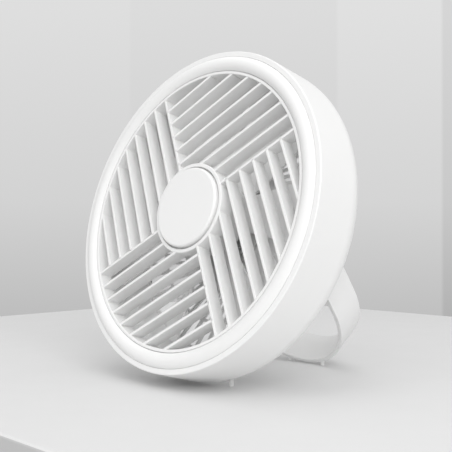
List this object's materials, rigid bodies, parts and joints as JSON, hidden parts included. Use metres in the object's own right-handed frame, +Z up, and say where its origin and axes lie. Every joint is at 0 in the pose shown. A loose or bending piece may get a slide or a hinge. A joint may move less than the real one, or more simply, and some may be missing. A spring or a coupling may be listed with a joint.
{
  "type": "rechargeable desk fan",
  "caption": "Round white desk fan with pinwheel louvres and a flat hub cap, leaning back on a folding U-shaped band that is also its handle.",
  "frame": {"origin": "on the floor, under the middle of the bounding box, with the fan standing and its band at rest", "axes": "+Z up; the face looks towards -Y and leans back; +X along the hinge axis, to the right when the face is looked at"},
  "size_m": [0.208, 0.1616, 0.2097],
  "materials": {
    "shell_white": "satin moulded white",
    "ring_white": "satin moulded white",
    "louvre_white": "satin moulded white",
    "cap_white": "satin moulded white",
    "grille_white": "satin moulded white",
    "drum_white": "satin moulded white",
    "cover_white": "satin moulded white",
    "impeller_white": "satin moulded white",
    "button_white": "satin moulded pale grey",
    "band_white": "satin moulded white",
    "pin_white": "satin moulded white",
    "mount_plastic": "moulded pale grey",
    "foot_clear": "soft milky clear",
    "steel": "zinc-plated",
    "bearing_steel": "ground steel",
    "core_steel": "laminated, dark",
    "can_steel": "drawn and plated",
    "shaft_steel": "ground steel",
    "socket_steel": "stamped and plated",
    "tab_nickel": "nickel strip",
    "magnet_grey": "pressed ferrite",
    "copper": "enamelled wire",
    "board_green": "glass-fibre board with black parts",
    "lead_red": "insulated wire",
    "tray_dark": "moulded dark grey",
    "cell_blue": "shrink-wrapped",
    "light_clear": "clear light guide",
    "switch_black": "moulded black",
    "plunger_ivory": "moulded ivory",
    "washer_grey": "self-lubricating plastic"
  },
  "bodies": {
    "fan": {"housing_shell": "shell_white", "front_ring": "ring_white", "front_grille": "louvre_white", "hub_cap": "cap_white", "front_screws": "steel", "rear_grille": "grille_white", "rear_screws": "steel", "housing_feet": "foot_clear", "motor_mount": "mount_plastic", "front_bearing": "bearing_steel", "rear_bearing": "bearing_steel", "stator_core": "core_steel", "stator_coils": "copper", "motor_board": "board_green", "motor_leads": "lead_red", "drum_shell": "drum_white", "drum_screws": "steel", "drum_cover": "cover_white", "cover_screws": "steel", "battery_tray": "tray_dark", "battery_cells": "cell_blue", "cell_tabs": "tab_nickel", "control_board": "board_green", "board_screws": "steel", "charge_socket": "socket_steel", "charge_lights": "light_clear", "switch_body": "switch_black", "hinge_washers": "washer_grey"},
    "rotor": {"impeller": "impeller_white", "rotor_can": "can_steel", "rotor_magnet": "magnet_grey", "motor_shaft": "shaft_steel", "shaft_clip": "steel"},
    "button": {"power_button": "button_white", "switch_plunger": "plunger_ivory"},
    "stand": {"stand_band": "band_white", "hinge_pins": "pin_white", "pin_clips": "steel", "stand_feet": "foot_clear"}
  },
  "joints": [
    {"name": "stand_hinge", "type": "hinge", "parent": "fan", "child": "stand", "pos_m": [0, 0.00694, 0.09375], "axis": [1, 0, 0], "range_deg": [-51.3, 128.7]},
    {"name": "impeller_spin", "type": "hinge", "parent": "fan", "child": "rotor", "pos_m": [0, -0.05428, 0.10981], "axis": [0, 0.9673, -0.2538], "continuous": true},
    {"name": "power_button_press", "type": "slide", "parent": "fan", "child": "button", "axis": [0, -0.9673, 0.2538], "range_m": [0, 0.0005], "stiffness_N_per_m": 1000}
  ]
}
